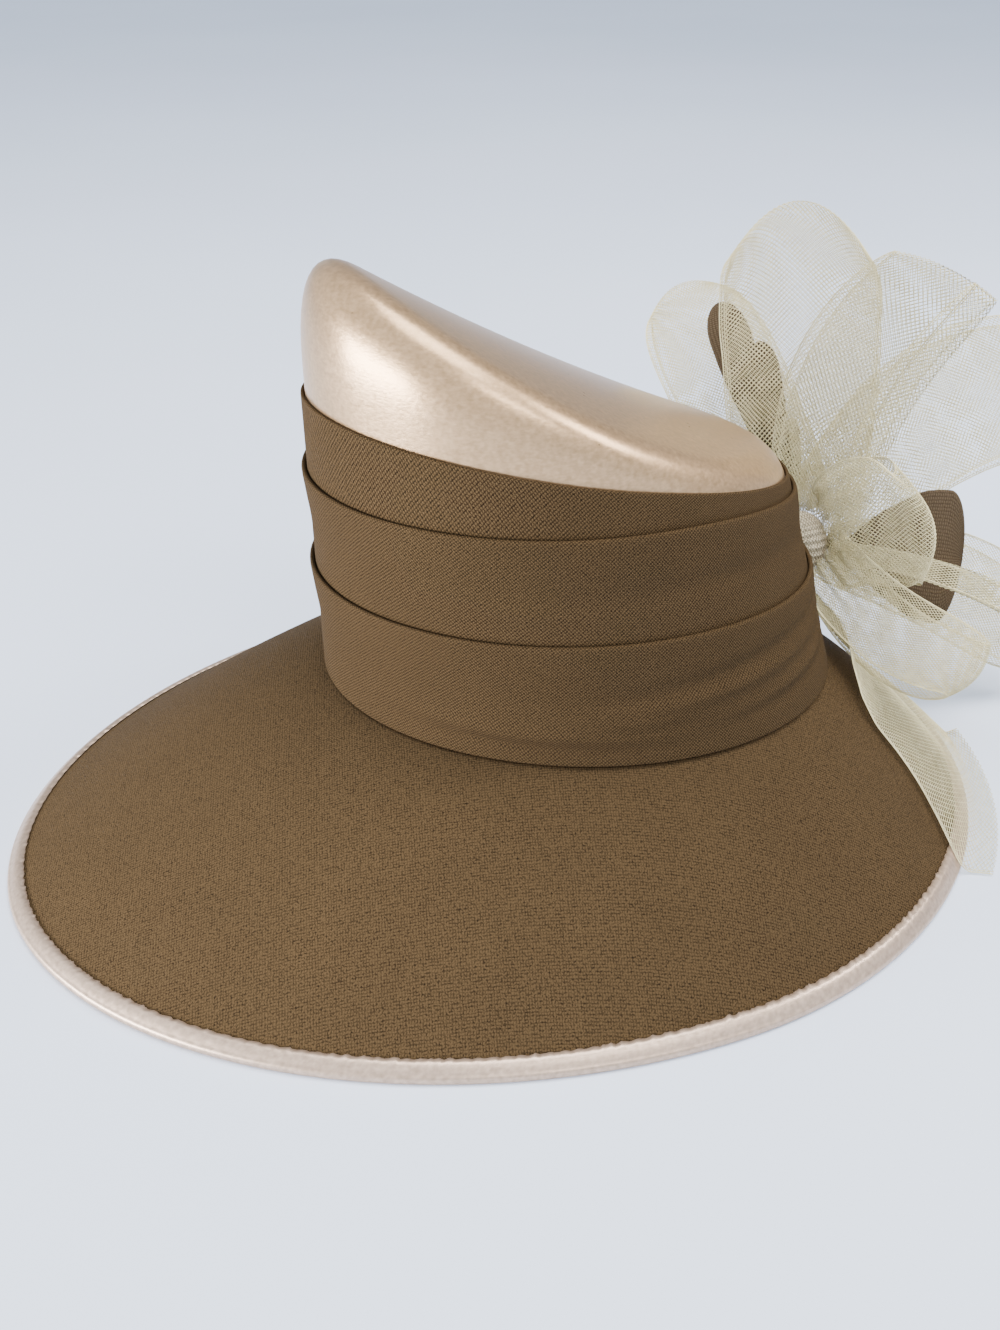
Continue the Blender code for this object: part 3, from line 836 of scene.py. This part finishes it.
def bump(nodes, links, shader, height, distance, strength=1.0):
    """Raise the surface by a height in metres."""
    made = node(nodes, "ShaderNodeBump", (-250, -350), Strength=strength, Distance=distance)
    links.new(height, made.inputs["Height"])
    links.new(made.outputs["Normal"], shader.inputs["Normal"])


def crepe_material(name, output, turn, dark, light, wander=1.4, grain_share=0.5):
    """Crepe: a pebbled weave of about a millimetre, matt, with faint larger shading."""
    material, nodes, links, shader = new_material(name)
    vector = cloth_coordinates(nodes, links, output, turn)
    across = ridges(nodes, links, vector, (-950, 250), CREPE_WEAVE, "X", wander)
    along = ridges(nodes, links, vector, (-950, 0), CREPE_WEAVE, "Y", wander)
    grain = noise(nodes, links, vector, (-950, -250), CREPE_GRAIN)
    weave = math_node(nodes, links, "MULTIPLY", (-700, 150), across, along)
    weave = math_node(nodes, links, "MULTIPLY", (-600, 150), weave, 1.24 * (1 - grain_share))
    pebble = math_node(nodes, links, "MULTIPLY_ADD", (-420, 50), grain, 1.24 * grain_share, weave)
    colour = ramp(nodes, links, pebble, (-200, 200), (0.22, dark), (0.62, light))
    cloudy = noise(nodes, links, vector, (-950, -500), 0.035, 3.0)
    colour = tint(nodes, links, colour, cloudy, (60, 200), 0.90, 1.10)
    links.new(colour, shader.inputs["Base Color"])
    shader.inputs["Roughness"].default_value = 0.9
    shader.inputs["Specular IOR Level"].default_value = 0.05
    bump(nodes, links, shader, pebble, CREPE_RELIEF, 0.9)
    return material


def satin_material(name, output, dark, light, roughness, grain_size):
    """Satin: fine floats that run round the hat under a broad soft gloss."""
    material, nodes, links, shader = new_material(name)
    vector = cloth_coordinates(nodes, links, output, 0.0)
    grain = noise(nodes, links, vector, (-950, 200), grain_size * 2.2, 1.0)
    stretch = node(nodes, "ShaderNodeMapping", (-1150, -200), Scale=(0.45, 0.45, 1.0))
    links.new(vector, stretch.inputs["Vector"])
    floats = noise(nodes, links, stretch.outputs["Vector"], (-950, -50), grain_size, 1.0)
    mixed = math_node(nodes, links, "ADD", (-540, 100), grain, floats)
    mixed = math_node(nodes, links, "MULTIPLY", (-400, 100), mixed, 0.5)
    colour = ramp(nodes, links, mixed, (-200, 250), (0.30, dark), (0.70, light))
    cloudy = noise(nodes, links, vector, (-950, -400), 0.05, 2.0)
    colour = tint(nodes, links, colour, cloudy, (60, 250), 0.94, 1.06)
    links.new(colour, shader.inputs["Base Color"])
    gloss = node(nodes, "ShaderNodeMapRange", (-200, -120))
    gloss.inputs["To Min"].default_value = roughness - 0.05
    gloss.inputs["To Max"].default_value = roughness + 0.08
    links.new(mixed, gloss.inputs["Value"])
    links.new(gloss.outputs["Result"], shader.inputs["Roughness"])
    shader.inputs["Specular IOR Level"].default_value = 0.8
    shader.inputs["Specular Tint"].default_value = (1.0, 0.92, 0.87, 1.0)
    shader.inputs["Coat Weight"].default_value = 0.2
    shader.inputs["Coat Roughness"].default_value = 0.25
    shader.inputs["Metallic"].default_value = 0.7
    shader.inputs["Sheen Weight"].default_value = 0.05
    shader.inputs["Sheen Roughness"].default_value = 0.3
    bump(nodes, links, shader, mixed, SATIN_RELIEF, 0.9)
    return material


def thread_material(name, dark, light):
    """Cream nylon thread with a soft gloss and slight changes of tone along the ribbon."""
    material, nodes, links, shader = new_material(name)
    vector = cloth_coordinates(nodes, links, "UV", 0.0)
    tone = noise(nodes, links, vector, (-950, 100), 0.004, 2.0)
    colour = ramp(nodes, links, tone, (-400, 150), (0.3, dark), (0.7, light))
    links.new(colour, shader.inputs["Base Color"])
    shader.inputs["Roughness"].default_value = 0.42
    shader.inputs["Specular IOR Level"].default_value = 0.5
    return material


def floor_material():
    """Plain pale cloth-like floor."""
    material, nodes, links, shader = new_material("floor")
    vector = cloth_coordinates(nodes, links, "Object", 0.0)
    cloudy = noise(nodes, links, vector, (-950, 0), 0.6, 2.0)
    colour = ramp(nodes, links, cloudy, (-400, 0), (0.3, FLOOR_COLOURS[0]), (0.7, FLOOR_COLOURS[1]))
    links.new(colour, shader.inputs["Base Color"])
    shader.inputs["Roughness"].default_value = 0.9
    shader.inputs["Specular IOR Level"].default_value = 0.1
    return material


# Pieces


def build_crown(material):
    """The satin crown as one closed wall."""
    inner = crown_columns(CROWN_WALL)
    outer = crown_columns(0.0)
    grid = np.concatenate([inner[:, ::-1], outer], axis=1)
    columns = grid.shape[1]
    centre_in = [i * columns for i in range(ROUND)]
    centre_out = [i * columns + columns - 1 for i in range(ROUND)][::-1]
    crown = grid_piece("crown_satin", grid, material, wrap_rows=True, extra=(centre_in, centre_out))
    stands_for(crown, "crown_shell")


def build_bands(material):
    """Three folded bands of crepe."""
    for i, row in enumerate(BANDS):
        band = grid_piece(row[0] + "_cloth", band_grid(i), material, wrap_rows=True, wrap_columns=True)
        stands_for(band, row[0])


def build_brim(material):
    """The brim, covered in crepe above and below."""
    angle = (np.arange(ROUND) * tau / ROUND)[:, None]
    share = np.linspace(0, 1, BRIM_ROWS)[None, :]
    wave = BRIM_WAVE * np.sin(angle * BRIM_WAVES + 1.0) * np.sin(pi * share)
    half = BRIM_THICKNESS / 2
    upper = brim_point(angle, share, half + wave)
    lower = brim_point(angle, share, -half + wave)
    grid = np.concatenate([upper, lower[:, ::-1]], axis=1)
    brim = grid_piece("brim_cloth", grid, material, wrap_rows=True, wrap_columns=True)
    stands_for(brim, "brim")


def build_binding(material):
    """The satin binding folded over the brim's edge."""
    grid = binding_grid(np.random.default_rng(BINDING_SEED))
    binding = grid_piece("binding_cloth", grid, material, wrap_rows=True, wrap_columns=True)
    stands_for(binding, "brim_binding")


def build_bow(thread_look, knot_look, leaf_look):
    """Knot, loops, strand, tail and leaves."""
    inner_end = [i * KNOT_ROWS for i in range(KNOT_ROUND)]
    outer_end = [i * KNOT_ROWS + KNOT_ROWS - 1 for i in range(KNOT_ROUND)][::-1]
    knot = grid_piece("knot_net", knot_grid(), knot_look, wrap_rows=True, extra=(inner_end, outer_end))
    stands_for(knot, "bow_knot")
    rng = np.random.default_rng(BOW_SEED)
    ribbons = [(row[0], *loop_place(row, rng)) for row in LOOPS]
    ribbons.append(("tail_twist", *twist_place()))
    ribbons.append(("tail_brim", *tail_place()))
    for name, length, place in ribbons:
        ribbon = net_piece(name + "_net", length, place, thread_look)
        stands_for(ribbon, name)
        net_area(length)
    for row in LEAVES:
        grid = leaf_grid(row)
        tips = ([*range(LEAF_RIM)][::-1], [*range((LEAF_ROWS - 1) * LEAF_RIM, LEAF_ROWS * LEAF_RIM)])
        leaf = grid_piece(row[0] + "_cloth", grid, leaf_look, wrap_columns=True, extra=tips)
        stands_for(leaf, row[0])
        along, half = leaf_halves(row)
        length = row[4] * BOW_REACH


# Surroundings


def area_light(name, place, target, size, power, colour):
    """A soft rectangular lamp that faces a point."""
    data = bpy.data.lights.new(name, "AREA")
    data.shape = "RECTANGLE"
    data.size, data.size_y = size
    data.energy = power
    data.color = colour
    lamp = bpy.data.objects.new(name, data)
    lamp.location = place
    lamp.rotation_euler = (Vector(target) - Vector(place)).to_track_quat("-Z", "Y").to_euler()
    lamp.visible_camera = False
    bpy.context.collection.objects.link(lamp)


def from_photo(place):
    """A place given in the photograph's axes, turned into the hat's."""
    return Matrix.Rotation(-HAT_TURN, 3, "Z") @ Vector(place) + Vector(MIDDLE)


def build_world():
    """Soft daylight all round, weaker from the far side of the room."""
    world = bpy.data.worlds.new("studio")
    world.use_nodes = True
    nodes, links = world.node_tree.nodes, world.node_tree.links
    source = nodes.new("ShaderNodeTexCoord")
    facing = nodes.new("ShaderNodeVectorMath")
    facing.operation = "DOT_PRODUCT"
    facing.inputs[1].default_value = Matrix.Rotation(-HAT_TURN, 3, "Z") @ Vector(FAR_SIDE).normalized()
    fade = nodes.new("ShaderNodeMapRange")
    fade.inputs["From Min"].default_value = -0.1
    fade.inputs["From Max"].default_value = 0.9
    fade.inputs["To Min"].default_value = WORLD_NEAR
    fade.inputs["To Max"].default_value = WORLD_FAR
    links.new(source.outputs["Generated"], facing.inputs[0])
    links.new(facing.outputs["Value"], fade.inputs["Value"])
    background = nodes["Background"]
    background.inputs["Color"].default_value = (0.80, 0.88, 1.0, 1.0)
    links.new(fade.outputs["Result"], background.inputs["Strength"])
    bpy.context.scene.world = world


def build_surroundings():
    """Floor, studio light and the photograph's camera."""
    mesh = bpy.data.meshes.new("floor")
    far = FLOOR_REACH
    mesh.from_pydata([(-far, -far, 0), (far, -far, 0), (far, far, 0), (-far, far, 0)], [], [(0, 1, 2, 3)])
    mesh.materials.append(floor_material())
    floor = bpy.data.objects.new("floor", mesh)
    bpy.context.collection.objects.link(floor)
    target = from_photo(LAMP_TARGET)
    for name, place, size, power, colour in LAMPS:
        area_light(name, from_photo(place), target, size, power, colour)
    build_world()
    data = bpy.data.cameras.new("camera")
    data.sensor_fit = "VERTICAL"
    data.sensor_height = SENSOR
    data.lens = FOCAL_PIXELS * SENSOR / FRAME_HEIGHT
    camera = bpy.data.objects.new("camera", data)
    camera.location = from_photo(CAMERA_PLACE)
    camera.rotation_euler = (pi / 2 - CAMERA_PITCH, 0.0, -HAT_TURN)
    bpy.context.collection.objects.link(camera)
    bpy.context.scene.camera = camera


def main():
    """Dress the whole hat."""
    band_look = crepe_material("band_crepe", "UV", radians(38), *BAND_COLOURS)
    brim_look = crepe_material(
        "brim_crepe", "Object", radians(20), *BRIM_COLOURS, wander=3.0, grain_share=0.68
    )
    satin_look = satin_material("crown_satin", "Object", *SATIN_COLOURS, 0.29, SATIN_GRAIN)
    binding_look = satin_material("binding_satin", "UV", *BINDING_COLOURS, 0.38, SATIN_GRAIN)
    thread_look = thread_material("ribbon_net", *THREAD_COLOURS)
    knot_look = crepe_material("knot_net", "UV", radians(45), *KNOT_COLOURS)
    leaf_look = crepe_material("leaf_cloth", "UV", 0.0, *LEAF_COLOURS)
    build_crown(satin_look)
    build_bands(band_look)
    build_brim(brim_look)
    build_binding(binding_look)
    build_bow(thread_look, knot_look, leaf_look)
    build_surroundings()


main()
